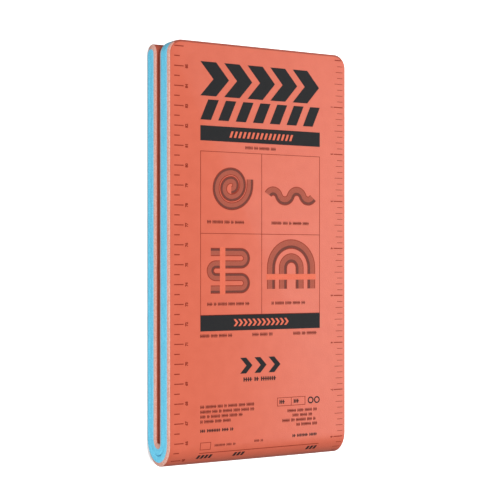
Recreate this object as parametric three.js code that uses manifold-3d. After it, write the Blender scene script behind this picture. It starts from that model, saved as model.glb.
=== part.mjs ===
// Aluminium foam splint, folded in four for storage and lying on its back panel.
// One long strip of two bonded foam sheets, orange on the printed side and blue on the other.
// Millimetres, +Z up. X runs across the strip, Y along the folded panels with the free ends
// at +Y, and the origin is the middle of the rest face.
import * as THREE from 'three';
import { mergeVertices } from 'three/addons/utils/BufferGeometryUtils.js';
import Module from 'manifold-3d';

// Driving dimensions
const stripWidth = 108;
const foldedLength = 216;
const orangeThickness = 2;
const blueThickness = 3.2;
const laminationGap = 0.2;
const faceGap = 0.3;
const legGap = 3.8;
const cornerRadius = 7;
const rimInset = 0.6;

// The bottom bends hang a little forward: this share of the leg gap is the bend radius on the front side.
const frontBendShare = 0.35;

// Steps of the arcs in a quarter turn
const bendSteps = 8;
const cornerSteps = 6;

// Thicknesses that follow
const sheetThickness = orangeThickness + laminationGap + blueThickness;
const legThickness = 2 * sheetThickness + faceGap;
const totalThickness = 2 * legThickness + legGap;

// Radii of the printed face in the bends
const innerFrontRadius = legGap * frontBendShare;
const innerBackRadius = legGap - innerFrontRadius;
const outerFrontRadius = innerFrontRadius + legThickness;
const outerBackRadius = innerBackRadius + legThickness;
const crestRadius = legThickness / 2;

// Places along Y and Z
const freeEndY = foldedLength / 2;
const bendCentreZ = outerBackRadius;
const frontBendY = -foldedLength / 2 + outerFrontRadius;
const backBendY = -foldedLength / 2 + outerBackRadius;
const crestBendY = freeEndY - crestRadius;

// A straight or a quarter turn of the printed face, in the YZ plane. Angles are measured from +Y
// towards +Z, and heading is the way that the strip runs.
function straight(from, to) {
  const heading = Math.atan2(to[1] - from[1], to[0] - from[0]);
  const at = (share) => ({
    y: from[0] + (to[0] - from[0]) * share,
    z: from[1] + (to[1] - from[1]) * share,
    heading,
  });
  return { steps: 1, at };
}

function quarterTurn(centre, radius, startAngle, turn) {
  const at = (share) => {
    const angle = startAngle + turn * share * Math.PI / 2;
    return {
      y: centre[0] + radius * Math.cos(angle),
      z: centre[1] + radius * Math.sin(angle),
      heading: angle + turn * Math.PI / 2,
    };
  };
  return { steps: bendSteps, at };
}

// The folded route of the printed face, from the front free end to the inner free end
function foldedRoute() {
  const quarter = Math.PI / 2;
  const backLegTop = legThickness;
  const frontLegBottom = legThickness + legGap;
  return [
    straight([freeEndY, totalThickness], [frontBendY, totalThickness]),
    quarterTurn([frontBendY, bendCentreZ], outerFrontRadius, quarter, 1),
    quarterTurn([backBendY, bendCentreZ], outerBackRadius, 2 * quarter, 1),
    straight([backBendY, 0], [crestBendY, 0]),
    quarterTurn([crestBendY, crestRadius], crestRadius, -quarter, 1),
    quarterTurn([crestBendY, crestRadius], crestRadius, 0, 1),
    straight([crestBendY, backLegTop], [backBendY, backLegTop]),
    quarterTurn([backBendY, bendCentreZ], innerBackRadius, -quarter, -1),
    quarterTurn([frontBendY, bendCentreZ], innerFrontRadius, -2 * quarter, -1),
    straight([frontBendY, frontLegBottom], [freeEndY, frontLegBottom]),
  ];
}

// The route as a curve whose steps are spread evenly over the stretches' own steps, so the
// straights take one step each and the bends keep theirs.
class FoldCurve extends THREE.Curve {
  constructor(stretches) {
    super();
    this.stretches = stretches;
    this.totalSteps = stretches.reduce((sum, stretch) => sum + stretch.steps, 0);
  }

  locate(t) {
    let left = t * this.totalSteps;
    let index = 0;
    while (index < this.stretches.length - 1 && left > this.stretches[index].steps) {
      left -= this.stretches[index].steps;
      index += 1;
    }
    return this.stretches[index].at(left / this.stretches[index].steps);
  }

  getPoint(t, target = new THREE.Vector3()) {
    const place = this.locate(t);
    return target.set(0, place.y, place.z);
  }

  getTangent(t, target = new THREE.Vector3()) {
    const place = this.locate(t);
    return target.set(0, Math.cos(place.heading), Math.sin(place.heading));
  }

  getUtoTmapping(u) {
    return u;
  }
}

// A cross-section between two depths under the printed face, with its own half width at each
function sheetSection(topDepth, topHalfWidth, bottomDepth, bottomHalfWidth) {
  return new THREE.Shape([
    new THREE.Vector2(-topHalfWidth, topDepth),
    new THREE.Vector2(topHalfWidth, topDepth),
    new THREE.Vector2(bottomHalfWidth, bottomDepth),
    new THREE.Vector2(-bottomHalfWidth, bottomDepth),
  ]);
}

function foldedSheet(section) {
  const route = new FoldCurve(foldedRoute());
  return new THREE.ExtrudeGeometry(section, { steps: route.totalSteps, extrudePath: route });
}

// The waste outside one rounded corner of the free ends, through the front leg and no further
function cornerWaste(side) {
  const margin = 1;
  const arcX = stripWidth / 2 - cornerRadius;
  const arcY = freeEndY - cornerRadius;
  const outline = [];
  for (let step = 0; step <= cornerSteps; step += 1) {
    const angle = Math.PI / 2 * step / cornerSteps;
    const x = arcX + cornerRadius * Math.cos(angle);
    const y = arcY + cornerRadius * Math.sin(angle);
    outline.push(new THREE.Vector2(side * x, y));
  }
  outline.push(new THREE.Vector2(side * arcX, freeEndY + margin));
  outline.push(new THREE.Vector2(side * (stripWidth / 2 + margin), freeEndY + margin));
  outline.push(new THREE.Vector2(side * (stripWidth / 2 + margin), arcY));
  const lowest = legThickness + legGap / 2;
  const waste = new THREE.ExtrudeGeometry(new THREE.Shape(outline), {
    depth: totalThickness + margin - lowest,
    bevelEnabled: false,
  });
  return waste.translate(0, 0, lowest);
}

const wasm = await Module();
wasm.setup();

function toSolid(geometry) {
  const bare = geometry.clone();
  bare.deleteAttribute('normal');
  bare.deleteAttribute('uv');
  const merged = mergeVertices(bare, 0.0001);
  return new wasm.Manifold(new wasm.Mesh({
    numProp: 3,
    vertProperties: new Float32Array(merged.attributes.position.array),
    triVerts: new Uint32Array(merged.index.array),
  }));
}

function toGeometry(solid) {
  const mesh = solid.getMesh();
  const geometry = new THREE.BufferGeometry();
  geometry.setAttribute('position', new THREE.BufferAttribute(new Float32Array(mesh.vertProperties), 3));
  geometry.setIndex(new THREE.BufferAttribute(new Uint32Array(mesh.triVerts), 1));
  geometry.computeVertexNormals();
  return geometry;
}

function roundFreeEnds(geometry) {
  const solid = toSolid(geometry);
  const rounded = [-1, 1].reduce((rest, side) => rest.subtract(toSolid(cornerWaste(side))), solid);
  return toGeometry(rounded);
}

// Orange sheet: the printed face is narrower than the bonded side, so its rims slant
function orangeFoam() {
  const halfWidth = stripWidth / 2;
  const section = sheetSection(0, halfWidth - rimInset, orangeThickness, halfWidth);
  const material = new THREE.MeshStandardMaterial({ color: 0xde7059, roughness: 0.9, metalness: 0 });
  const mesh = new THREE.Mesh(roundFreeEnds(foldedSheet(section)), material);
  mesh.name = 'orange_foam';
  return mesh;
}

// Blue sheet: square rims, bonded under the orange one
function blueFoam() {
  const halfWidth = stripWidth / 2;
  const top = orangeThickness + laminationGap;
  const section = sheetSection(top, halfWidth, sheetThickness, halfWidth);
  const material = new THREE.MeshStandardMaterial({ color: 0x6bc8e9, roughness: 0.9, metalness: 0 });
  const mesh = new THREE.Mesh(roundFreeEnds(foldedSheet(section)), material);
  mesh.name = 'blue_foam';
  return mesh;
}

const splint = new THREE.Group();
splint.add(orangeFoam());
splint.add(blueFoam());

export default splint;
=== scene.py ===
"""Looks of an aluminium foam splint, folded in four and lying on its back panel.

The strip is modelled flat, as it is cut, with its front panel already in place. Its ink is laid on
the flat strip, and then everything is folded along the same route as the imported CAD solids.
"""

import itertools
import logging
import math
from collections.abc import Callable, Iterator
from contextlib import contextmanager
from dataclasses import dataclass, field, replace
from enum import Enum
from typing import NamedTuple

import bmesh
import bpy
from mathutils import Matrix, Vector


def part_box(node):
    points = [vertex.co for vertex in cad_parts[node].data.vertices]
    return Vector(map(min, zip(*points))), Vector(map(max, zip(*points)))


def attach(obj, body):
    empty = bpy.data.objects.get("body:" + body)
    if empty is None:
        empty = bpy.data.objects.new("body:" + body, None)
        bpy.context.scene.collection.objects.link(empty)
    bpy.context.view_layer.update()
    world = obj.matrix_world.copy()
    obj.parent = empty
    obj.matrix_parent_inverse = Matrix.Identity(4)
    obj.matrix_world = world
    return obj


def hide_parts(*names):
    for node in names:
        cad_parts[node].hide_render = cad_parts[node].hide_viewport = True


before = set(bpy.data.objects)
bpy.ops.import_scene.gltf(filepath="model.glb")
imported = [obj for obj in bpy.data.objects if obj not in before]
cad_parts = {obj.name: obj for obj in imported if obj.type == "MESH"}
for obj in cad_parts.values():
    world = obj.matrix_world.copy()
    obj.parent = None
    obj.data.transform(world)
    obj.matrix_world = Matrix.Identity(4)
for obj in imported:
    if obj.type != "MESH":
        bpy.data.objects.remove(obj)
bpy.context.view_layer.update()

LOG = logging.getLogger("foam_splint")
MM = 0.001

# Points nearer to each other than this, in metres, count as one place
TINY = 1e-6

# A face is flat if this much or more of its normal is along Z
FLAT = 0.999

# Edges that turn by less than this are shaded smooth
SHEET_SMOOTH = math.radians(45)
INK_SMOOTH = math.radians(35)

# How far forward of the pack's middle plane the strip lies, in degrees round a bend
FRONT, MIDDLE, BACK = 90.0, 0.0, -90.0

Place = tuple[float, float, float]
Colour = tuple[float, float, float, float]
Socket = bpy.types.NodeSocket


class Part(Enum):
    """What a test in edit mode picks."""

    VERTS = "VERT"
    EDGES = "EDGE"
    FACES = "FACE"


def take(piece: bpy.types.Object) -> None:
    """Makes a piece the only selected and the active object.

    Args:
        piece: The object to work on.
    """
    bpy.ops.object.select_all(action="DESELECT")
    piece.select_set(True)
    bpy.context.view_layer.objects.active = piece


@contextmanager
def editing(piece: bpy.types.Object) -> Iterator[None]:
    """Edit mode on one piece, with nothing selected at the start.

    Args:
        piece: The mesh object to edit.

    Yields:
        Nothing, while the piece is in edit mode.
    """
    take(piece)
    bpy.ops.object.mode_set(mode="EDIT")
    bpy.ops.mesh.select_all(action="DESELECT")
    yield
    bpy.ops.object.mode_set(mode="OBJECT")


def pick(piece: bpy.types.Object, part: Part, test: Callable[..., bool]) -> None:
    """Selects, in edit mode, the parts of a mesh that pass a test.

    Args:
        piece: The mesh object, in edit mode.
        part: Whether vertices, edges or faces are tested.
        test: Called with each bmesh element, true for those to select.
    """
    bpy.ops.mesh.select_mode(type=part.value)
    bpy.ops.mesh.select_all(action="DESELECT")
    form = bmesh.from_edit_mesh(piece.data)
    elements = {Part.VERTS: form.verts, Part.EDGES: form.edges, Part.FACES: form.faces}[part]
    for element in elements:
        if test(element):
            element.select_set(True)
    form.select_flush_mode()
    bmesh.update_edit_mesh(piece.data)


def settle(piece: bpy.types.Object) -> None:
    """Puts a piece's place, turn and scale into its mesh, so that its object sits at the origin.

    Args:
        piece: The object to settle.
    """
    take(piece)
    bpy.ops.object.transform_apply(location=True, rotation=True, scale=True)


def apply_modifier(piece: bpy.types.Object, kind: str, **values: object) -> None:
    """Adds one modifier to a piece and applies it.

    Args:
        piece: The object that gets the modifier.
        kind: Blender's name of the modifier's type.
        **values: The modifier's settings.
    """
    take(piece)
    modifier = piece.modifiers.new(kind.lower(), kind)
    for key, value in values.items():
        setattr(modifier, key, value)
    bpy.ops.object.modifier_apply(modifier=modifier.name)


def joined(pieces: list[bpy.types.Object], name: str) -> bpy.types.Object:
    """Joins pieces into one.

    Args:
        pieces: The objects to join, at least one.
        name: The name of the result.

    Returns:
        The one object that is left.
    """
    take(pieces[0])
    for piece in pieces:
        piece.select_set(True)
    if len(pieces) > 1:
        bpy.ops.object.join()
    pieces[0].name = name
    pieces[0].data.name = name
    return pieces[0]


@dataclass(frozen=True)
class StripSizes:
    """Sizes of the strip, in metres, as the CAD has them."""

    width: float
    folded_length: float
    total_thickness: float
    orange_thickness: float = 2.0 * MM
    blue_thickness: float = 3.2 * MM
    bond_gap: float = 0.2 * MM
    face_gap: float = 0.3 * MM
    leg_gap: float = 3.8 * MM
    corner_radius: float = 7.0 * MM
    rim_inset: float = 0.6 * MM
    front_bend_share: float = 0.35

    @property
    def sheet(self) -> float:
        """Thickness of the whole strip, flat."""
        return self.orange_thickness + self.bond_gap + self.blue_thickness

    @property
    def leg(self) -> float:
        """Thickness of one folded leg, which is two strips."""
        return 2 * self.sheet + self.face_gap

    @classmethod
    def from_frame(cls) -> "StripSizes":
        """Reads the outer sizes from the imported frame, for the whole scene to work from."""
        low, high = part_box("orange_foam")
        return cls(high.x - low.x, high.y - low.y, high.z - low.z)


class Bend(Enum):
    """The kinds of bend along the strip, and its flat back panel."""

    OUTER = "outer bottom bend"
    BACK = "back panel"
    CREST = "top crest"
    INNER = "inner bottom bend"


@dataclass(frozen=True)
class Stretch:
    """A straight or an arc of the printed face's route, in the YZ plane.

    The tilts say how far its start and its end lie forward of the pack's middle plane, in degrees.
    """

    length: float
    radius: float = 0.0
    turn: int = 0
    steps: int = 1
    bend: Bend | None = None
    tilts: tuple[float, float] = (MIDDLE, MIDDLE)

    def heading_at(self, heading: float, along: float) -> float:
        """The route's heading after some way along this stretch, in radians from +Y to +Z."""
        return heading + self.turn * along / self.radius if self.turn else heading

    def move(self, start: tuple[float, float], heading: float, along: float) -> tuple[float, float]:
        """Where the route is after some way along this stretch.

        Args:
            start: The stretch's first point, (y, z).
            heading: The heading at that point.
            along: The way from there, in metres.

        Returns:
            The point (y, z).
        """
        if not self.turn:
            return start[0] + along * math.cos(heading), start[1] + along * math.sin(heading)
        reach = self.radius * self.turn
        end = self.heading_at(heading, along)
        return (
            start[0] + reach * (math.sin(end) - math.sin(heading)),
            start[1] - reach * (math.cos(end) - math.cos(heading)),
        )

    def tilt(self, along: float) -> float:
        """How far forward of the pack's middle plane this stretch is there, in degrees."""
        start, end = self.tilts
        return start + (end - start) * along / self.length


class FoldRoute:
    """The way that the flat strip takes when it is folded."""

    outer_steps: int = 20
    tight_steps: int = 14

    def __init__(self, sizes: StripSizes) -> None:
        """Lays the stretches end to end, from the front free end to the inner one.

        Args:
            sizes: The strip's sizes.
        """
        inner_front = sizes.leg_gap * sizes.front_bend_share
        inner_back = sizes.leg_gap - inner_front
        outer_front = inner_front + sizes.leg
        outer_back = inner_back + sizes.leg
        crest = sizes.leg / 2
        front_run = sizes.folded_length - outer_front
        back_run = sizes.folded_length - outer_back - crest
        self.stretches = [
            Stretch(front_run),
            self._quarter(outer_front, 1, Bend.OUTER, (FRONT, MIDDLE)),
            self._quarter(outer_back, 1, Bend.OUTER, (MIDDLE, BACK)),
            Stretch(back_run, bend=Bend.BACK, tilts=(BACK, BACK)),
            self._quarter(crest, 1, Bend.CREST, (BACK, MIDDLE)),
            self._quarter(crest, 1, Bend.CREST, (MIDDLE, FRONT)),
            Stretch(back_run),
            self._quarter(inner_back, -1, Bend.INNER, (BACK, MIDDLE)),
            self._quarter(inner_front, -1, Bend.INNER, (MIDDLE, FRONT)),
            Stretch(front_run),
        ]
        self.top_y = sizes.folded_length / 2
        self.top_z = sizes.total_thickness
        self.length = sum(stretch.length for stretch in self.stretches)
        self.starts: list[tuple[float, tuple[float, float], float]] = []
        begin, point, heading = 0.0, (self.top_y, self.top_z), math.pi
        for stretch in self.stretches:
            self.starts.append((begin, point, heading))
            point = stretch.move(point, heading, stretch.length)
            heading = stretch.heading_at(heading, stretch.length)
            begin += stretch.length

    def _quarter(self, radius: float, turn: int, bend: Bend, tilts: tuple[float, float]) -> Stretch:
        """One quarter turn of the route.

        Args:
            radius: The printed face's radius.
            turn: 1 where the route turns from +Y towards +Z, and -1 where it turns back.
            bend: The bend that the turn belongs to.
            tilts: How far forward its start and its end lie, in degrees.

        Returns:
            The arc.
        """
        steps = self.outer_steps if bend is Bend.OUTER else self.tight_steps
        return Stretch(math.pi / 2 * radius, radius, turn, steps, bend, tilts)

    def cuts(self) -> list[float]:
        """Finds where a flat mesh needs an edge to fold well.

        Returns:
            The ways along the strip, rising and each only once.
        """
        digits = 7
        found = []
        for (begin, _, _), stretch in zip(self.starts, self.stretches):
            if stretch.turn:
                step = stretch.length / stretch.steps
                found += [begin + step * count for count in range(stretch.steps + 1)]
        return sorted(set(round(cut, digits) for cut in found))

    def _find(self, way: float) -> int:
        """Finds the stretch that a way along the strip falls in.

        Args:
            way: The way from the front free end.

        Returns:
            The stretch's number.
        """
        index = 0
        while index < len(self.stretches) - 1 and way > self.starts[index + 1][0]:
            index += 1
        return index

    def place(self, way: float) -> tuple[Bend | None, float]:
        """Tells which bend lies at some way along the strip.

        Args:
            way: The way from the front free end.

        Returns:
            The bend, and how far forward of the middle plane it is there, in degrees.
        """
        index = self._find(way)
        stretch = self.stretches[index]
        return stretch.bend, stretch.tilt(way - self.starts[index][0])

    def fold(self, point: Vector) -> Vector:
        """Folds one point of the flat strip.

        Args:
            point: A point of the flat strip, whose front panel is in its final place.

        Returns:
            The same point on the folded strip.
        """
        way, depth = self.top_y - point.y, self.top_z - point.z
        index = self._find(way)
        begin, start, heading = self.starts[index]
        stretch = self.stretches[index]
        y, z = stretch.move(start, heading, way - begin)
        facing = stretch.heading_at(heading, way - begin)
        return Vector((point.x, y - depth * math.sin(facing), z + depth * math.cos(facing)))


def slice_for_bends(piece: bpy.types.Object, route: FoldRoute) -> None:
    """Cuts a flat mesh where the bends need edges.

    Args:
        piece: The flat mesh object.
        route: The route that it will be folded along.
    """
    ways = [route.top_y - vertex.co.y for vertex in piece.data.vertices]
    nearest, furthest = min(ways), max(ways)
    with editing(piece):
        for cut in route.cuts():
            if nearest < cut < furthest:
                bpy.ops.mesh.select_all(action="SELECT")
                bpy.ops.mesh.bisect(
                    plane_co=(0, route.top_y - cut, 0), plane_no=(0, 1, 0), use_fill=False
                )


def fold_piece(piece: bpy.types.Object, route: FoldRoute) -> None:
    """Moves every vertex of a flat mesh to its place on the folded strip.

    Args:
        piece: The flat mesh object.
        route: The route of the fold.
    """
    for vertex in piece.data.vertices:
        vertex.co = route.fold(vertex.co)
    piece.data.update()


def linear(red: int, green: int, blue: int) -> Colour:
    """A screen colour as the linear values that a shader reads.

    Args:
        red: From 0 to 255.
        green: From 0 to 255.
        blue: From 0 to 255.

    Returns:
        Linear red, green and blue, and an alpha of 1.
    """
    def channel(value: int) -> float:
        """One channel, by the usual screen curve."""
        share = value / 255
        return share / 12.92 if share <= 0.04045 else ((share + 0.055) / 1.055) ** 2.4

    return channel(red), channel(green), channel(blue), 1.0


def grey(level: float) -> Colour:
    """A plain grey of some linear level, from 0 to 1."""
    return level, level, level, 1.0


WHITE = grey(1.0)


class Shader:
    """A material with one Principled shader and a few helpers to wire it."""

    def __init__(
        self, name: str, roughness: float = 0.5, sheen: float = 0.0, specular: float = 0.5
    ) -> None:
        """Starts a material.

        Args:
            name: The material's name.
            roughness: Roughness of the whole surface, where no pattern sets it.
            sheen: Weight of a soft sheen at grazing angles.
            specular: Strength of the plain gloss.
        """
        self.material = bpy.data.materials.new(name)
        self.material.use_nodes = True
        self.tree = self.material.node_tree
        self.surface = self.tree.nodes["Principled BSDF"]
        self.surface.inputs["Roughness"].default_value = roughness
        self.surface.inputs["Specular IOR Level"].default_value = specular
        self.surface.inputs["Sheen Weight"].default_value = sheen
        self.place = self.tree.nodes.new("ShaderNodeTexCoord").outputs["Object"]

    def wire(self, source: Socket, target: Socket) -> None:
        """Links two sockets."""
        self.tree.links.new(source, target)

    def noise(self, scale: float, detail: float, stretch: Place = (1, 1, 1)) -> Socket:
        """A noise over the object's own space.

        Args:
            scale: Blotches for each metre.
            detail: Octaves of finer noise.
            stretch: Scale of the pattern along each axis.

        Returns:
            The socket that holds the noise, from 0 to 1.
        """
        mapping = self.tree.nodes.new("ShaderNodeMapping")
        mapping.inputs["Scale"].default_value = stretch
        texture = self.tree.nodes.new("ShaderNodeTexNoise")
        texture.inputs["Scale"].default_value = scale
        texture.inputs["Detail"].default_value = detail
        self.wire(self.place, mapping.inputs["Vector"])
        self.wire(mapping.outputs["Vector"], texture.inputs["Vector"])
        return texture.outputs["Fac"]

    def cells(self, scale: float) -> Socket:
        """Foam cells over the object's own space.

        Args:
            scale: Cells for each metre.

        Returns:
            The socket that holds the distance from each cell's middle.
        """
        texture = self.tree.nodes.new("ShaderNodeTexVoronoi")
        texture.inputs["Scale"].default_value = scale
        self.wire(self.place, texture.inputs["Vector"])
        return texture.outputs["Distance"]

    def ramp(self, source: Socket, stops: list[tuple[float, Colour]]) -> Socket:
        """Colours along a value.

        Args:
            source: The socket that holds the value.
            stops: Places from 0 to 1 and their colours, in rising order.

        Returns:
            The socket that holds the colour.
        """
        node = self.tree.nodes.new("ShaderNodeValToRGB")
        elements = node.color_ramp.elements
        while len(elements) < len(stops):
            elements.new(stops[1][0])
        for element, (place, colour) in zip(elements, stops):
            element.position = place
            element.color = colour
        self.wire(source, node.inputs["Fac"])
        return node.outputs["Color"]

    def multiplied(self, first: Socket, second: Socket) -> Socket:
        """Two colours multiplied.

        Args:
            first: The first colour's socket.
            second: The second colour's socket.

        Returns:
            The socket that holds the result.
        """
        share, first_colour, second_colour, result = 0, 6, 7, 2
        node = self.tree.nodes.new("ShaderNodeMix")
        node.data_type = "RGBA"
        node.blend_type = "MULTIPLY"
        node.inputs[share].default_value = 1.0
        self.wire(first, node.inputs[first_colour])
        self.wire(second, node.inputs[second_colour])
        return node.outputs[result]

    def spread(self, source: Socket, low: float, high: float) -> Socket:
        """A value moved from the range 0 to 1 to another range.

        Args:
            source: The socket that holds the value.
            low: What 0 becomes.
            high: What 1 becomes.

        Returns:
            The socket that holds the result.
        """
        node = self.tree.nodes.new("ShaderNodeMapRange")
        node.inputs["To Min"].default_value = low
        node.inputs["To Max"].default_value = high
        self.wire(source, node.inputs["Value"])
        return node.outputs["Result"]

    def colour(self, source: Socket) -> None:
        """Makes a socket the surface's colour."""
        self.wire(source, self.surface.inputs["Base Color"])

    def roughen(self, source: Socket, low: float, high: float) -> None:
        """Lets the roughness follow a value between two limits."""
        self.wire(self.spread(source, low, high), self.surface.inputs["Roughness"])

    def bump(self, heights: list[tuple[Socket, float]]) -> None:
        """Adds relief to the surface.

        Args:
            heights: Sockets of height from 0 to 1, each with its height in metres.
        """
        normal = None
        for source, height in heights:
            node = self.tree.nodes.new("ShaderNodeBump")
            node.inputs["Distance"].default_value = height
            self.wire(source, node.inputs["Height"])
            if normal is not None:
                self.wire(normal, node.inputs["Normal"])
            normal = node.outputs["Normal"]
        self.wire(normal, self.surface.inputs["Normal"])


@dataclass(frozen=True)
class FoamSkin:
    """The smooth, matt outer skin of closed-cell foam, with faint blotches and fine pores.

    Scales are in blotches, grains and pores for each metre, heights in metres.
    """

    name: str
    deep: Colour
    body: Colour
    pale: Colour
    sheen: float = 0.06
    blotch_scale: float = 160
    grain_scale: float = 1500
    pore_scale: float = 1900
    blotch_height: float = 0.012 * MM
    grain_height: float = 0.04 * MM
    pore_height: float = 0.03 * MM

    def material(self) -> bpy.types.Material:
        """Builds the finish.

        Returns:
            The material.
        """
        shader = Shader(self.name, sheen=self.sheen)
        blotches = shader.noise(self.blotch_scale, detail=3)
        grain = shader.noise(self.grain_scale, detail=4)
        pores = shader.cells(self.pore_scale)
        tone = shader.ramp(blotches, [(0.3, self.deep), (0.5, self.body), (0.72, self.pale)])
        fine = shader.ramp(grain, [(0.3, grey(0.96)), (0.7, WHITE)])
        shader.colour(shader.multiplied(tone, fine))
        shader.roughen(grain, low=0.36, high=0.44)
        shader.bump([
            (blotches, self.blotch_height),
            (grain, self.grain_height),
            (pores, self.pore_height),
        ])
        return shader.material


@dataclass(frozen=True)
class FoamCut:
    """A cut rim of the foam: paler than the skin, with its open cells and the knife's drag.

    Scales are in cells and streaks for each metre, heights in metres.
    """

    name: str
    deep: Colour
    body: Colour
    pale: Colour
    sheen: float = 0.1
    cell_scale: float = 1250
    drag_scale: float = 260
    drag_stretch: Place = (1, 0.35, 2.2)
    drag_shade: Colour = (0.9, 0.92, 0.93, 1)
    cell_height: float = 0.12 * MM
    drag_height: float = 0.15 * MM

    def material(self) -> bpy.types.Material:
        """Builds the finish.

        Returns:
            The material.
        """
        shader = Shader(self.name, roughness=0.9, sheen=self.sheen)
        cells = shader.cells(self.cell_scale)
        drag = shader.noise(self.drag_scale, detail=3, stretch=self.drag_stretch)
        tone = shader.ramp(cells, [(0.1, self.deep), (0.42, self.body), (0.8, self.pale)])
        streak = shader.ramp(drag, [(0.3, self.drag_shade), (0.65, WHITE)])
        shader.colour(shader.multiplied(tone, streak))
        shader.bump([(cells, self.cell_height), (drag, self.drag_height)])
        return shader.material


@dataclass(frozen=True)
class Ink:
    """Printing ink, matt and a little uneven where the foam's pores take less of it."""

    name: str
    body: Colour
    worn: Colour
    specular: float = 0.45
    grain_scale: float = 1900
    grain_height: float = 0.04 * MM

    def material(self) -> bpy.types.Material:
        """Builds the finish.

        Returns:
            The material.
        """
        shader = Shader(self.name, specular=self.specular)
        grain = shader.noise(self.grain_scale, detail=4)
        shader.colour(shader.ramp(grain, [(0.42, self.body), (0.78, self.worn)]))
        shader.roughen(grain, low=0.65, high=0.8)
        shader.bump([(grain, self.grain_height)])
        return shader.material


ORANGE_SKIN = FoamSkin("orange_skin", linear(196, 94, 71), linear(198, 96, 73), linear(200, 98, 75))
# Darker orange for the orange sheet's turned rim edges: painted shade where the rounded edge turns away
# from the light.
ORANGE_EDGE_SHADE = FoamSkin("orange_edge_painted_shade", linear(178, 82, 61), linear(184, 86, 65), linear(190, 90, 70))
# Darker still for the orange sheet's turned free ends: painted shade, a dark line where the rounded end
# faces away from the light.
ORANGE_END_SHADE = FoamSkin("orange_end_painted_shade", linear(152, 70, 53), linear(160, 75, 57), linear(168, 81, 62))
ORANGE_CUT = FoamCut("orange_cut", linear(201, 136, 119), linear(213, 158, 143), linear(221, 172, 159))
BLUE_SKIN = FoamSkin("blue_skin", linear(88, 182, 222), linear(96, 192, 230), linear(106, 200, 236))
BLUE_CUT = FoamCut("blue_cut", linear(92, 190, 228), linear(110, 207, 240), linear(124, 216, 246))
DARK_INK = Ink("dark_ink", linear(31, 32, 34), linear(40, 39, 39))
RULER_INK = Ink("ruler_ink", linear(128, 44, 30), linear(150, 58, 42))
SMALL_INK = Ink("small_print_ink", linear(112, 44, 34), linear(130, 56, 44))
BAND_INK = Ink("band_ink", linear(150, 76, 60), linear(164, 84, 67))
SHADE_INK = Ink("shade_ink", linear(98, 52, 45), linear(114, 60, 50))
BARE_INK = Ink("bare_orange", linear(204, 98, 73), linear(212, 108, 84))


@dataclass(frozen=True)
class Swell:
    """A soft change of depth of one side of a sheet in a bend, strongest at its middle.

    The middle and the reach to either side of it are in degrees forward of the middle plane.
    """

    bend: Bend
    amount: float
    middle: float = MIDDLE
    reach: float = FRONT

    def shift(self, place: tuple[Bend | None, float]) -> float:
        """How much deeper that side lies at a place of the strip.

        Args:
            place: The bend there and how far forward it is, in degrees.

        Returns:
            The shift in metres, away from the printed face.
        """
        bend, tilt = place
        if bend is not self.bend:
            return 0.0
        share = max(1 - abs(tilt - self.middle) / self.reach, 0.0)
        return self.amount * share * share * (3 - 2 * share)


class Surface(Enum):
    """The surfaces of a foam sheet, numbered as its material slots are."""

    SKIN = 0
    # Turned edges: on the orange sheet their darker colour is painted shade of the rounded rim.
    EDGE = 1
    # Turned free ends: on the orange sheet their dark colour is painted shade.
    END = 2
    CUT = 3


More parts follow.
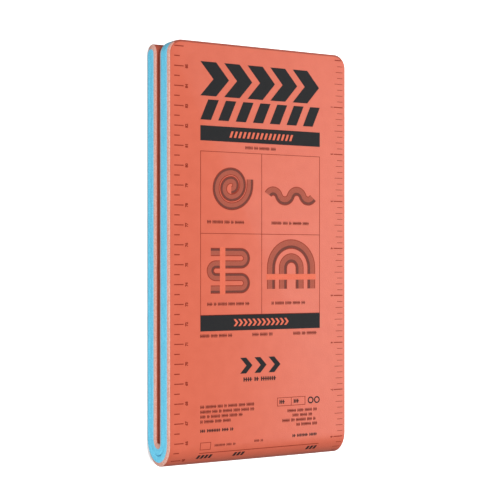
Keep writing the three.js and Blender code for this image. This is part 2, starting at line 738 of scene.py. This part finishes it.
@dataclass
class FoamSheet:
    """One of the two bonded foam sheets, from its flat blank to its folded, dressed piece.

    Its near side faces the print. Near and far are its two sides' depths under the printed face,
    in metres as all its sizes are.
    """

    name: str
    node: str
    near: float
    far: float
    near_inset: float
    near_round: float
    far_round: float
    skin: FoamSkin
    # Colours of the turned edges and free ends: darker painted shade on the orange sheet, the plain skin
    # on the blue one.
    edge: FoamSkin
    end: FoamSkin
    cut: FoamCut
    near_swells: tuple[Swell, ...] = ()
    far_swells: tuple[Swell, ...] = ()
    pressed: float = 0.0
    back_tuck: float = 0.0
    end_roll: float = 0.0
    corner_steps: int = 14
    soft_steps: int = 3

    def blank(self, sizes: StripSizes, route: FoldRoute) -> bpy.types.Object:
        """Models the sheet flat: a long slab with round corners and slanted, softened rims.

        Args:
            sizes: The strip's sizes.
            route: The fold's route, for the strip's length.

        Returns:
            The flat sheet, with its skin and cut materials set.
        """
        thickness = self.far - self.near
        top = sizes.total_thickness - self.near
        middle = (0.0, route.top_y - route.length / 2, top - thickness / 2)
        bpy.ops.object.select_all(action="DESELECT")
        bpy.ops.mesh.primitive_cube_add(
            size=1, location=middle, scale=(sizes.width, route.length, thickness)
        )
        piece = bpy.context.active_object
        piece.name = self.name
        piece.data.name = self.name
        settle(piece)
        with editing(piece):
            self._round_corners(piece, sizes)
            self._slant_rims(piece, sizes, top)
            self._soften(piece, top, self.near_round)
            self._roll_ends(piece, route, top)
            self._soften(piece, top - thickness, self.far_round)
        self._dress(piece, top)
        return piece

    def _round_corners(self, piece: bpy.types.Object, sizes: StripSizes) -> None:
        """Rounds the four corners of the flat slab.

        Args:
            piece: The slab, in edit mode.
            sizes: The strip's sizes.
        """
        def upright(edge: bmesh.types.BMEdge) -> bool:
            """True for the slab's four edges through its thickness."""
            span = edge.verts[0].co - edge.verts[1].co
            return abs(span.x) < TINY and abs(span.y) < TINY

        pick(piece, Part.EDGES, upright)
        bpy.ops.mesh.bevel(offset=sizes.corner_radius, segments=self.corner_steps, affect="EDGES")

    def _slant_rims(self, piece: bpy.types.Object, sizes: StripSizes, top: float) -> None:
        """Narrows the printed side, so that the long rims slant out towards the bonded side.

        Args:
            piece: The slab, in edit mode.
            sizes: The strip's sizes.
            top: The height of the slab's near side.
        """
        if not self.near_inset:
            return
        pick(piece, Part.FACES, lambda face: face.normal.z > FLAT)
        narrower = 1 - 2 * self.near_inset / sizes.width
        bpy.ops.transform.resize(value=(narrower, 1, 1), center_override=(0.0, 0.0, top))

    def _soften(self, piece: bpy.types.Object, level: float, radius: float) -> None:
        """Rounds the edge that runs right round the slab at one level.

        Args:
            piece: The slab, in edit mode.
            level: The height of that edge.
            radius: How far the rounding reaches.
        """
        pick(
            piece,
            Part.EDGES,
            lambda edge: all(abs(vert.co.z - level) < TINY for vert in edge.verts),
        )
        bpy.ops.mesh.bevel(offset=radius, segments=self.soft_steps, affect="EDGES")

    def _roll_ends(self, piece: bpy.types.Object, route: FoldRoute, top: float) -> None:
        """Lets the soft turn at the free ends reach further in than along the rims.

        Args:
            piece: The slab, in edit mode.
            route: The fold's route, for the strip's length.
            top: The height of the slab's near side.
        """
        if not self.end_roll:
            return
        pick(piece, Part.FACES, lambda face: face.normal.z > FLAT)
        middle = (0.0, route.top_y - route.length / 2, top)
        shorter = 1 - 2 * self.end_roll / route.length
        bpy.ops.transform.resize(value=(1, shorter, 1), center_override=middle)

    def _dress(self, piece: bpy.types.Object, top: float) -> None:
        """Gives the flat faces the skin, the turned edges and ends their own finishes, which on the
        orange sheet are darker painted shade, and the rims the cut finish.

        Args:
            piece: The flat sheet.
            top: The height of its near side.
        """
        end_bias, upward = 1.2, 0.85
        for finish in (self.skin, self.edge, self.end, self.cut):
            piece.data.materials.append(finish.material())
        for face in piece.data.polygons:
            turned = face.center.z > top - self.near_round
            if abs(face.normal.z) > FLAT:
                surface = Surface.SKIN
            # Faces at the free ends that turn away from the flat: on the orange sheet, the painted end
            # shade.
            elif turned and abs(face.normal.y) > end_bias * abs(face.normal.x):
                surface = Surface.END
            # Upward turned faces along the rims: on the orange sheet, the painted edge shade.
            elif turned and face.normal.z > upward:
                surface = Surface.EDGE
            else:
                surface = Surface.CUT
            face.material_index = surface.value

    def _settle_in(self, piece: bpy.types.Object, sizes: StripSizes, route: FoldRoute) -> None:
        """Swells and presses the sheet where the folds will, and tucks in the back panel's rims.

        Args:
            piece: The flat sheet.
            sizes: The strip's sizes.
            route: The fold's route.
        """
        middle = sizes.total_thickness - (self.near + self.far) / 2
        for vertex in piece.data.vertices:
            place = route.place(route.top_y - vertex.co.y)
            if vertex.co.z < middle:
                vertex.co.z -= self.pressed + sum(swell.shift(place) for swell in self.far_swells)
                continue
            vertex.co.z -= sum(swell.shift(place) for swell in self.near_swells)
            bend, tilt = place
            if bend in (Bend.OUTER, Bend.BACK, Bend.CREST) and tilt < MIDDLE:
                vertex.co.x -= math.copysign(self.back_tuck * tilt / BACK, vertex.co.x)

    def build(self, sizes: StripSizes, route: FoldRoute) -> bpy.types.Object:
        """Args:
            sizes: The strip's sizes.
            route: The fold's route.

        Returns:
            The finished piece.
        """
        piece = self.blank(sizes, route)
        slice_for_bends(piece, route)
        self._settle_in(piece, sizes, route)
        fold_piece(piece, route)
        take(piece)
        bpy.ops.object.shade_smooth_by_angle(angle=SHEET_SMOOTH)
        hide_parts(self.node)
        return piece


class Move(NamedTuple):
    """A pen's move: a straight of some length, or an arc of some radius that turns left or right.

    The turn is in degrees, positive to the left, and 0 for a straight.
    """

    size: float
    turn: float = 0.0


class Picture(NamedTuple):
    """A little picture of a bent strip: where the pen starts, its heading, the width, its moves.

    The heading is in degrees from +X, anticlockwise.
    """

    x: float
    way: float
    heading: float
    width: float
    moves: list[Move]


@dataclass
class InkLayer:
    """Marks of one ink, drawn on the flat strip and folded with it.

    Marks are placed across by x, from the strip's middle line, and along by the way from the front
    free end. Both are in millimetres, as on a print drawing. The lift, in metres, is how far the ink
    stands out of the foam, and it reaches as far into it. An arc has one step to arc_step degrees.
    """

    name: str
    ink: Ink
    slot: str
    route: FoldRoute
    lift: float = 0.03 * MM
    arc_step: float = 9.0
    ring_corners: int = 40
    marks: list[bpy.types.Object] = field(default_factory=list)

    def _plane(self, left: float, right: float, start: float, end: float) -> bpy.types.Object:
        """Adds a flat rectangle.

        Args:
            left: Its left side, across.
            right: Its right side, across.
            start: Where it starts along the strip.
            end: Where it ends along the strip.

        Returns:
            The rectangle.
        """
        middle = (
            (left + right) / 2 * MM,
            self.route.top_y - (start + end) / 2 * MM,
            self.route.top_z + self.lift,
        )
        bpy.ops.object.select_all(action="DESELECT")
        bpy.ops.mesh.primitive_plane_add(size=1, location=middle)
        piece = bpy.context.active_object
        piece.scale = ((right - left) * MM, (end - start) * MM, 1)
        settle(piece)
        return piece

    def bar(self, left: float, right: float, start: float, end: float) -> None:
        """Draws a plain rectangle.

        Args:
            left: Its left side, across.
            right: Its right side, across.
            start: Where it starts along the strip.
            end: Where it ends along the strip.
        """
        self.marks.append(self._plane(left, right, start, end))

    def row(
        self, left: float, right: float, start: float, end: float, count: int, across: float,
        along: float,
    ) -> None:
        """Draws one rectangle and repeats it at even steps.

        Args:
            left: The first one's left side, across.
            right: Its right side, across.
            start: Where it starts along the strip.
            end: Where it ends along the strip.
            count: How many there are.
            across: The step across.
            along: The step along the strip.
        """
        piece = self._plane(left, right, start, end)
        self._repeat(piece, count, across, along)
        self.marks.append(piece)

    def _repeat(self, piece: bpy.types.Object, count: int, across: float, along: float) -> None:
        """Repeats a mark at even steps by an array.

        Args:
            piece: The mark.
            count: How many there are in the end.
            across: The step across.
            along: The step along the strip.
        """
        apply_modifier(
            piece, "ARRAY", count=count, use_relative_offset=False, use_constant_offset=True,
            constant_offset_displace=(across * MM, -along * MM, 0.0),
        )

    def slanted(
        self, left: float, width: float, start: float, height: float, lean: float, count: int,
        step: float,
    ) -> None:
        """Draws slanted blocks side by side.

        Args:
            left: The first block's left corner at its lower edge, across.
            width: A block's width.
            start: Where the blocks start along the strip.
            height: Their size along the strip.
            lean: How far the upper edge leans to the right.
            count: How many there are.
            step: The step across from one to the next.
        """
        piece = self._plane(left, left + width, start, start + height)
        upper = self.route.top_y - start * MM
        with editing(piece):
            pick(piece, Part.VERTS, lambda vert: vert.co.y > upper - TINY)
            bpy.ops.transform.translate(value=(lean * MM, 0, 0))
        self._repeat(piece, count, step, 0.0)
        self.marks.append(piece)

    def chevrons(
        self, left: float, width: float, start: float, height: float, point: float, count: int,
        step: float,
    ) -> None:
        """Draws arrowhead bands that point to the right.

        Args:
            left: The first one's left side, across.
            width: The band's width.
            start: Where they start along the strip.
            height: Their size along the strip.
            point: How far the middle is pushed to the right.
            count: How many there are.
            step: The step across from one to the next.
        """
        piece = self._plane(left, left + width, start, start + height)
        middle = self.route.top_y - (start + height / 2) * MM
        with editing(piece):
            bpy.ops.mesh.select_all(action="SELECT")
            bpy.ops.mesh.subdivide(number_cuts=1)
            pick(piece, Part.VERTS, lambda vert: abs(vert.co.y - middle) < TINY)
            bpy.ops.transform.translate(value=(point * MM, 0, 0))
        self._repeat(piece, count, step, 0.0)
        self.marks.append(piece)

    def number(
        self, text: str, x: float, way: float, height: float, turn: float, bold: float
    ) -> None:
        """Sets a small number, centred on its place.

        Args:
            text: The number.
            x: Its middle, across.
            way: Its middle, along the strip.
            height: The height of its digits.
            turn: How it is turned, in degrees, anticlockwise seen from the printed side.
            bold: How much its strokes are widened, as a share of the type size.
        """
        digit_share = 0.73
        bpy.ops.object.select_all(action="DESELECT")
        bpy.ops.object.text_add()
        piece = bpy.context.active_object
        piece.data.body = text
        piece.data.size = height * MM / digit_share
        piece.data.offset = bold * piece.data.size
        piece.data.resolution_u = 2
        piece.data.align_x = "CENTER"
        piece.data.align_y = "CENTER"
        bpy.ops.object.convert(target="MESH")
        piece = bpy.context.active_object
        piece.location = (x * MM, self.route.top_y - way * MM, self.route.top_z + self.lift)
        piece.rotation_euler = (0, 0, math.radians(turn))
        settle(piece)
        self.marks.append(piece)

    def ribbon(self, picture: Picture, width: float, offset: float = 0.0) -> None:
        """Draws a band by extruding and spinning its end, as a pen moves.

        Args:
            picture: The picture whose line the pen follows.
            width: The band's width.
            offset: How far the band lies to the left of the pen's line.
        """
        angle = math.radians(picture.heading)
        ahead = Vector((math.cos(angle), math.sin(angle), 0))
        aside = Vector((-ahead.y, ahead.x, 0))
        level = self.route.top_z + self.lift
        line_start = Vector((picture.x * MM, self.route.top_y - picture.way * MM, level))
        pen = line_start + aside * offset * MM
        stub = 0.02 * MM
        bpy.ops.object.select_all(action="DESELECT")
        bpy.ops.mesh.primitive_plane_add(size=1, location=pen + ahead * stub / 2)
        piece = bpy.context.active_object
        piece.scale = (stub, width * MM, 1)
        piece.rotation_euler = (0, 0, angle)
        settle(piece)
        pen = pen + ahead * stub
        with editing(piece):
            front = pen.copy()
            way_ahead = ahead.copy()
            pick(
                piece,
                Part.EDGES,
                lambda edge: all(abs((v.co - front).dot(way_ahead)) < TINY for v in edge.verts),
            )
            for size, turn in picture.moves:
                if not turn:
                    step = ahead * size * MM
                    bpy.ops.mesh.extrude_edges_move(TRANSFORM_OT_translate={"value": step})
                    pen = pen + step
                    continue
                side = 1 if turn > 0 else -1
                aside = Vector((-ahead.y, ahead.x, 0)) * side
                reach = (size - side * offset) * MM
                centre = pen + aside * reach
                swing = math.radians(turn)
                steps = round(abs(turn) / self.arc_step)
                bpy.ops.mesh.spin(steps=steps, angle=swing, center=centre, axis=(0, 0, -1))
                rotation = Matrix.Rotation(swing, 3, "Z")
                pen = centre + rotation @ (pen - centre)
                ahead = rotation @ ahead
        self.marks.append(piece)

    def ring(self, x: float, way: float, radius: float, width: float) -> None:
        """Draws a ring.

        Args:
            x: Its middle, across.
            way: Its middle, along the strip.
            radius: The radius of its middle line.
            width: The width of its band.
        """
        middle = (x * MM, self.route.top_y - way * MM, self.route.top_z + self.lift)
        outer, inner = radius + width / 2, radius - width / 2
        bpy.ops.object.select_all(action="DESELECT")
        bpy.ops.mesh.primitive_circle_add(
            vertices=self.ring_corners, radius=outer * MM, fill_type="NOTHING", location=middle
        )
        piece = bpy.context.active_object
        settle(piece)
        with editing(piece):
            bpy.ops.mesh.select_all(action="SELECT")
            bpy.ops.mesh.extrude_edges_move()
            bpy.ops.transform.resize(value=(inner / outer, inner / outer, 1), center_override=middle)
        self.marks.append(piece)

    def build(self) -> bpy.types.Object:
        """Joins the marks into one thin closed piece and folds it with the strip.

        Returns:
            The finished piece.
        """
        piece = joined(self.marks, self.name)
        with editing(piece):
            bpy.ops.mesh.select_all(action="SELECT")
            bpy.ops.mesh.remove_doubles(threshold=TINY)
            bpy.ops.mesh.normals_make_consistent(inside=False)
        self._face_up(piece)
        slice_for_bends(piece, self.route)
        apply_modifier(piece, "SOLIDIFY", thickness=2 * self.lift, offset=-1.0)
        piece.data.materials.clear()
        piece.data.materials.append(self.ink.material())
        fold_piece(piece, self.route)
        take(piece)
        bpy.ops.object.shade_smooth_by_angle(angle=INK_SMOOTH)
        return piece

    def _face_up(self, piece: bpy.types.Object) -> None:
        """Turns over every flat face that points into the foam.

        Args:
            piece: The joined marks, still flat.
        """
        with editing(piece):
            pick(piece, Part.FACES, lambda face: face.normal.z < 0)
            bpy.ops.mesh.flip_normals()


@dataclass
class Rulers:
    """The two rulers along the strip's edges, with their numbers, in millimetres."""

    route: FoldRoute
    left_rim: float = -50.9
    first_centimetre: float = 3.3
    first_inch: float = 2.9
    tick_width: float = 0.55
    thin_tick: float = 0.3
    centimetre: float = 10.0
    inch: float = 25.4

    def centimetres(self) -> bpy.types.Object:
        """Draws the ruler along the left edge, counted from the inner free end.

        Returns:
            The finished piece.
        """
        layer = InkLayer("centimetre_ruler", RULER_INK, "ruler_ink", self.route)
        long_end, short_end, numbers = -45.6, -47.8, -43.8
        length = self.route.length / MM
        count = int((length - 2 * self.first_centimetre) / self.centimetre) + 1
        start = self.first_centimetre - self.tick_width / 2
        half = start + self.centimetre / 2
        layer.row(
            self.left_rim, long_end, start, start + self.tick_width,
            count=count, across=0, along=self.centimetre,
        )
        layer.row(
            self.left_rim, short_end, half, half + self.tick_width,
            count=count - 1, across=0, along=self.centimetre,
        )
        for place in range(1, count):
            way = self.first_centimetre + self.centimetre * place
            layer.number(str(count - place), x=numbers, way=way, height=1.5, turn=90, bold=0.065)
        return layer.build()

    def inches(self) -> bpy.types.Object:
        """Draws the ruler along the right edge, counted from the front free end.

        Returns:
            The finished piece.
        """
        layer = InkLayer("inch_ruler", RULER_INK, "ruler_ink", self.route)
        length = self.route.length / MM
        count = int((length - 2 * self.first_inch) / self.inch)
        first_left, left, first_right, right, numbers = 46.6, 45.9, 50.8, 51.7, 44.6
        start = self.first_inch - self.tick_width / 2
        layer.bar(first_left, first_right, start, start + self.tick_width)
        whole = start + self.inch
        layer.row(
            left, right, whole, whole + self.tick_width, count=count, across=0, along=self.inch
        )
        for part_left, share in ((46.5, 2), (47.2, 4), (48.2, 8)):
            way = self.first_inch + self.inch / share
            layer.row(
                part_left, right, way, way + self.thin_tick,
                count=count * share // 2, across=0, along=2 * self.inch / share,
            )
        for place in range(1, count + 1):
            way = self.first_inch + self.inch * place
            layer.number(str(place), x=numbers, way=way, height=1.3, turn=-90, bold=0.06)
        return layer.build()


class TextRow(NamedTuple):
    """Where a row of small print runs: its ends across, its start along the strip, its height."""

    left: float
    right: float
    start: float
    height: float = 1.7


@dataclass
class FrontPrint:
    """The generic print on the front panel, in millimetres across and along.

    It has bold shapes, bars, a framed row of bent strips and rows of short strokes.
    """

    route: FoldRoute
    left: float = -36.0
    right: float = 36.9
    frame_start: float = 55.4
    frame_end: float = 139.2
    line: float = 0.32
    rule_boldness: float = 1.3
    row_step: float = 2.5
    stroke: float = 0.42
    pitch: float = 0.78
    bridge_share: float = 0.1
    word_lengths: tuple[int, ...] = (6, 3, 8, 4, 2, 7, 5)

    def bold_shapes(self) -> bpy.types.Object:
        """Draws the dark shapes and bars.

        Returns:
            The finished piece.
        """
        layer = InkLayer("bold_shapes", DARK_INK, "ink", self.route)
        layer.chevrons(self.left, width=9.2, start=10.0, height=17.4, point=7.6, count=5, step=13.9)
        layer.slanted(self.left, width=6.2, start=29.2, height=10.4, lean=4.6, count=7, step=10.35)
        layer.bar(self.left, self.right, start=42.5, end=50.2)
        layer.bar(self.left, self.right, start=139.1, end=147.2)
        layer.chevrons(left=-12.6, width=3.6, start=161.4, height=8.2, point=3.8, count=3, step=8.6)
        for left, count in ((-37.0, 4), (-15.5, 3), (29.5, 3)):
            layer.slanted(left, width=1.5, start=210.6, height=2.5, lean=0.9, count=count, step=2.3)
        return layer.build()

    def bar_marks(self) -> bpy.types.Object:
        """Draws what is left bare in the two bars and across the two lower pictures.

        Returns:
            The finished piece.
        """
        layer = InkLayer("bar_marks", BARE_INK, "orange_foam", self.route, 0.05 * MM)
        layer.slanted(left=-19.0, width=1.3, start=44.7, height=3.3, lean=1.2, count=15, step=2.6)
        layer.chevrons(left=-16.5, width=1.3, start=141.3, height=3.7, point=1.5, count=12, step=2.8)
        layer.bar(left=-24.6, right=-21.4, start=104.2, end=128.6)
        layer.bar(left=3.2, right=34.2, start=118.2, end=121.2)
        return layer.build()

    def frame_lines(self) -> bpy.types.Object:
        """Draws the thin frame, the rule at the bend and the outlined boxes.

        Returns:
            The finished piece.
        """
        layer = InkLayer("frame_lines", RULER_INK, "ruler_ink", self.route)
        middle_way, middle_x, rule = 97.2, 0.3, 209.2
        box_start, box_end, box_middle = 183.2, 187.8, 18.6
        self._outline(layer, self.left, self.right, self.frame_start, self.frame_end)
        layer.bar(self.left, self.right, middle_way, middle_way + self.line)
        layer.bar(middle_x, middle_x + self.line, self.frame_start, self.frame_end)
        layer.bar(self.left, self.right, rule, rule + self.line * self.rule_boldness)
        self._outline(layer, self.left, right=-29.8, start=203.6, end=207.6)
        self._outline(layer, left=10.0, right=27.6, start=box_start, end=box_end)
        layer.bar(box_middle, box_middle + self.line, box_start, box_end)
        return layer.build()

    def _outline(
        self, layer: InkLayer, left: float, right: float, start: float, end: float
    ) -> None:
        """Draws four thin bars round a rectangle.

        Args:
            layer: The ink layer that gets them.
            left: The rectangle's left side, across.
            right: Its right side, across.
            start: Where it starts along the strip.
            end: Where it ends along the strip.
        """
        layer.bar(left, right, start, start + self.line)
        layer.bar(left, right, end - self.line, end)
        layer.bar(left, left + self.line, start, end)
        layer.bar(right - self.line, right, start, end)

    def _words(self, layer: InkLayer, row: TextRow, first: int, boldness: float = 1.0) -> None:
        """Draws a row of words as runs of upright strokes, in place of small print.

        Args:
            layer: The ink layer that gets them.
            row: Where the row runs. No word is drawn past its right end.
            first: Which of the word lengths comes first.
            boldness: How much wider and further apart the strokes are than thin ones.
        """
        stroke, pitch = self.stroke * boldness, self.pitch * boldness
        middle, bridge = row.start + row.height / 2, row.height * self.bridge_share
        place = row.left
        for turn in itertools.count(first):
            letters = self.word_lengths[turn % len(self.word_lengths)]
            if place + pitch * letters > row.right:
                return
            layer.row(
                place, place + stroke, row.start, row.start + row.height,
                count=letters, across=pitch, along=0,
            )
            layer.bar(place, place + pitch * letters, middle - bridge, middle + bridge)
            place += pitch * (letters + 1)

    def _thin_text(self) -> list[TextRow]:
        """Lays out the thin rows: a title, captions, and notes left and right.

        Returns:
            The rows, from the free end towards the bend.
        """
        columns = ((-32.0, -7.0), (6.5, 31.0))
        rows = [TextRow(-9.5, 11.4, 51.9)]
        for start in (90.6, 132.6):
            rows += [TextRow(left, right, start) for left, right in columns]
        for left, right in ((self.left, -14.0), (-5.2, 9.0), (20.0, self.right)):
            rows.append(TextRow(left, right, 148.7, 1.8))
        for line, right in enumerate((-1.5, 0.5, -6.5, -18.0)):
            rows.append(TextRow(self.left, right, 184.8 + self.row_step * line))
        for line, left in enumerate((16.4, 19.6, 13.2, 22.0)):
            rows.append(TextRow(left, self.right, 189.6 + self.row_step * line))
        return rows + [TextRow(-27.6, -12.0, 204.9, 1.3), TextRow(-4.0, 2.0, 204.2, 1.3)]

    def small_print(self) -> list[bpy.types.Object]:
        """Draws the rows of small print: thin rows in brown ink and bold ones in dark ink.

        Returns:
            The thin rows and the bold rows.
        """
        thin = InkLayer("thin_rows", SMALL_INK, "ruler_ink", self.route)
        for turn, row in enumerate(self._thin_text()):
            self._words(thin, row, turn)
        bold = InkLayer("bold_rows", DARK_INK, "ink", self.route)
        self._words(bold, TextRow(-10.6, 14.0, 171.6, 2.2), first=3, boldness=1.7)
        self._words(bold, TextRow(self.left, -10.0, 197.0, 1.6), first=1, boldness=1.25)
        self._words(bold, TextRow(19.5, self.right, 203.0, 1.6), first=4, boldness=1.25)
        for left, right in ((11.4, 17.6), (20.3, 26.4)):
            self._words(bold, TextRow(left, right, 184.4, 2.2), first=1, boldness=1.4)
        for x in (31.0, 35.0):
            bold.ring(x, way=185.5, radius=1.5, width=0.7)
        return [thin.build(), bold.build()]

    def _pictures(self) -> list[Picture]:
        """Lays out the pictures: a rolled, a waved, a zigzagged and a hooked strip.

        Returns:
            The pictures, of which the hooked strip has two, one in the other.
        """
        roll = [Move(2.6, 180), Move(4.6, 180), Move(6.8, 180), Move(9.0, 180), Move(11.2, 90), Move(3)]
        waves = [Move(3.6, -130), Move(4.0, 140), Move(4.0, -140), Move(3.6, 120), Move(0.6)]
        zigzag = [Move(18), Move(3.2, 180), Move(15), Move(3.2, -180), Move(15), Move(3.2, 180), Move(18)]
        lower = 126.0
        return [
            Picture(-17.9, 74.9, heading=0, width=3.6, moves=roll),
            Picture(4.4, 76.5, heading=60, width=4.4, moves=waves),
            Picture(-30.0, lower, heading=0, width=3.8, moves=zigzag),
            Picture(6.2, lower, heading=90, width=4.6, moves=[Move(11), Move(12.6, -180), Move(11)]),
            Picture(13.6, lower, heading=90, width=4.6, moves=[Move(11), Move(5.2, -180), Move(11)]),
        ]

    def bent_strips(self) -> list[bpy.types.Object]:
        """Draws the little pictures.

        Returns:
            The bands, their shaded sides and their outlines.
        """
        fills = InkLayer("picture_bands", BAND_INK, "ruler_ink", self.route, 0.02 * MM)
        shades = InkLayer("picture_shades", SHADE_INK, "ruler_ink", self.route, 0.03 * MM)
        edges = InkLayer("picture_outlines", RULER_INK, "ruler_ink", self.route, 0.04 * MM)
        shade_share, line = 0.34, 0.42
        for picture in self._pictures():
            width = picture.width
            fills.ribbon(picture, width)
            shades.ribbon(picture, width * shade_share, offset=-(width * (1 - shade_share) / 2))
            for side in (-1, 1):
                edges.ribbon(picture, line, offset=side * width / 2)
        return [fills.build(), shades.build(), edges.build()]

    def build(self) -> list[bpy.types.Object]:
        """Draws the whole print and returns its finished pieces."""
        pieces = [self.bold_shapes(), self.bar_marks(), self.frame_lines()]
        return pieces + self.small_print() + self.bent_strips()


@dataclass
class Splint:
    """The folded splint: two foam sheets and the ink on them, in metres."""

    sizes: StripSizes
    route: FoldRoute
    hair: float = 0.01 * MM
    soft_edge: float = 0.08 * MM

    def orange_sheet(self, crest: Swell) -> bpy.types.Object:
        """Builds the printed sheet.

        Args:
            crest: How far it thickens towards the blue sheet in the crest.

        Returns:
            The finished piece.
        """
        sizes = self.sizes
        sheet = FoamSheet(
            name="orange_foam_sheet",
            node="orange_foam",
            near=0.0,
            far=sizes.orange_thickness + sizes.bond_gap / 2 - self.hair,
            near_inset=sizes.rim_inset,
            near_round=0.5 * MM,
            far_round=self.soft_edge,
            skin=ORANGE_SKIN,
            # Turned edges and free ends get darker painted shade, the ends darker still.
            edge=ORANGE_EDGE_SHADE,
            end=ORANGE_END_SHADE,
            cut=ORANGE_CUT,
            near_swells=(Swell(Bend.INNER, -0.55 * MM),),
            far_swells=(crest,),
            back_tuck=0.55 * MM,
            # The longer turn at the free ends widens the band that carries the painted end shade.
            end_roll=0.6 * MM,
        )
        return sheet.build(sizes, self.route)

    def blue_sheet(self, crest: Swell) -> bpy.types.Object:
        """Builds the thicker sheet behind it, whose seam opens a little in the bottom bends.

        Args:
            crest: How far it gives way to the orange sheet in the crest.

        Returns:
            The finished piece.
        """
        sizes = self.sizes
        mouth = Swell(Bend.OUTER, -0.2 * MM, middle=18.0, reach=52.0)
        sheet = FoamSheet(
            name="blue_foam_sheet",
            node="blue_foam",
            near=sizes.orange_thickness + sizes.bond_gap / 2,
            far=sizes.sheet,
            near_inset=0.0,
            near_round=self.soft_edge,
            far_round=0.12 * MM,
            skin=BLUE_SKIN,
            # The blue sheet has no painted shade: its turned edges and ends keep the skin.
            edge=BLUE_SKIN,
            end=BLUE_SKIN,
            cut=BLUE_CUT,
            near_swells=(crest,),
            far_swells=(mouth, replace(mouth, bend=Bend.INNER)),
            pressed=sizes.face_gap / 2 - self.hair,
        )
        return sheet.build(sizes, self.route)

    def build(self) -> list[bpy.types.Object]:
        """Builds every piece and lets it ride on the one body.

        Returns:
            The finished pieces.
        """
        crest = Swell(Bend.CREST, 0.6 * MM)
        rulers = Rulers(self.route)
        pieces = [self.orange_sheet(crest), self.blue_sheet(crest)]
        pieces += [rulers.centimetres(), rulers.inches()]
        pieces += FrontPrint(self.route).build()
        for piece in pieces:
            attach(piece, "root")
        return pieces


@dataclass(frozen=True)
class Camera:
    """The photograph's view: level with the panel's middle and turned to its left side."""

    place: Place = (-0.347, -0.0052, 0.596)
    azimuth: float = 30.84
    focal: float = 92.15
    sensor: float = 36.0
    shift: float = 0.029

    def build(self) -> None:
        """Adds the camera and makes it the scene's."""
        angle = math.radians(self.azimuth)
        right = Vector((math.cos(angle), 0, math.sin(angle)))
        up = Vector((0, 1, 0))
        back = right.cross(up)
        data = bpy.data.cameras.new("camera")
        data.lens = self.focal
        data.sensor_width = self.sensor
        data.shift_y = self.shift
        camera = bpy.data.objects.new("camera", data)
        turn = Matrix((right, up, back)).transposed().to_4x4()
        camera.matrix_world = Matrix.Translation(self.place) @ turn
        bpy.context.scene.collection.objects.link(camera)
        bpy.context.scene.camera = camera


@dataclass(frozen=True)
class AreaLight:
    """One soft light, aimed at a point of the object."""

    name: str
    place: Place
    size: tuple[float, float]
    energy: float
    glossy: bool = False
    target: Place = (0.0, 0.0, 0.013)

    def build(self) -> None:
        """Adds the light, aimed at its target and unseen by the camera."""
        data = bpy.data.lights.new(self.name, "AREA")
        data.shape = "RECTANGLE"
        data.size, data.size_y = self.size
        data.energy = self.energy
        light = bpy.data.objects.new(self.name, data)
        light.location = self.place
        aim = Vector(self.target) - Vector(self.place)
        light.rotation_euler = aim.to_track_quat("-Z", "Y").to_euler()
        light.visible_glossy = self.glossy
        light.visible_camera = False
        bpy.context.scene.collection.objects.link(light)


@dataclass(frozen=True)
class Studio:
    """The pale floor, lit a little from below, the white surroundings and the soft lights."""

    floor_deep: Colour = grey(0.93)
    floor_pale: Colour = grey(0.95)
    floor_radius: float = 1.4
    floor_sides: int = 96
    floor_glow: float = 0.5
    backdrop_glow: float = 1.25

    def build(self) -> None:
        """Adds the floor, the lights and the world."""
        self._floor()
        self._lights()
        self._surround()
        bpy.context.scene.view_settings.view_transform = "Standard"

    def _floor(self) -> None:
        """Adds a round floor that glows a little and neither reddens nor glares on the foam."""
        bpy.ops.object.select_all(action="DESELECT")
        bpy.ops.mesh.primitive_circle_add(
            vertices=self.floor_sides, radius=self.floor_radius, fill_type="NGON"
        )
        floor = bpy.context.active_object
        floor.name = "floor"
        shader = Shader("pale_floor", roughness=0.85)
        blotches = shader.noise(scale=3, detail=2)
        shader.colour(shader.ramp(blotches, [(0.3, self.floor_deep), (0.7, self.floor_pale)]))
        shader.surface.inputs["Emission Color"].default_value = WHITE
        shader.surface.inputs["Emission Strength"].default_value = self.floor_glow
        floor.data.materials.append(shader.material)
        floor.visible_diffuse = False
        floor.visible_glossy = False

    def _lights(self) -> None:
        """Adds the six soft lights, of which the haze alone shows in the gloss."""
        lights = (
            AreaLight("key", place=(-0.58, 0.1, 2.8), size=(1.2, 0.8), energy=66.4),
            AreaLight("haze", place=(0.93, 0.0, 1.0), size=(1.6, 0.4), energy=5.9, glossy=True),
            AreaLight("right", place=(0.5, 0.0, 0.35), size=(0.4, 0.2), energy=1.5),
            AreaLight("side", place=(-1.05, -0.2, 0.2), size=(0.7, 0.36), energy=9.4),
            AreaLight("fill", place=(0.0, 1.2, 0.9), size=(2.0, 1.0), energy=2.6),
            AreaLight("far_side", place=(1.3, 0.0, 0.25), size=(1.2, 0.5), energy=6.0),
        )
        for light in lights:
            light.build()

    def _surround(self) -> None:
        """Adds a plain white world that shows behind the floor and leaves the light to the lamps."""
        world = bpy.data.worlds.new("pale_room")
        world.use_nodes = True
        background = world.node_tree.nodes["Background"]
        background.inputs["Color"].default_value = WHITE
        background.inputs["Strength"].default_value = self.backdrop_glow
        world.cycles_visibility.diffuse = False
        world.cycles_visibility.glossy = False
        bpy.context.scene.world = world


def main() -> None:
    """Builds the camera, the splint and the studio, in that order, and reports each piece."""
    logging.basicConfig(level=logging.INFO, format="%(name)s: %(message)s")
    Camera().build()
    sizes = StripSizes.from_frame()
    route = FoldRoute(sizes)
    LOG.info("strip length %.1f mm", route.length / MM)
    for piece in Splint(sizes, route).build():
        LOG.info("%s: %d faces", piece.name, len(piece.data.polygons))
    Studio().build()


if __name__ == "__main__":
    main()
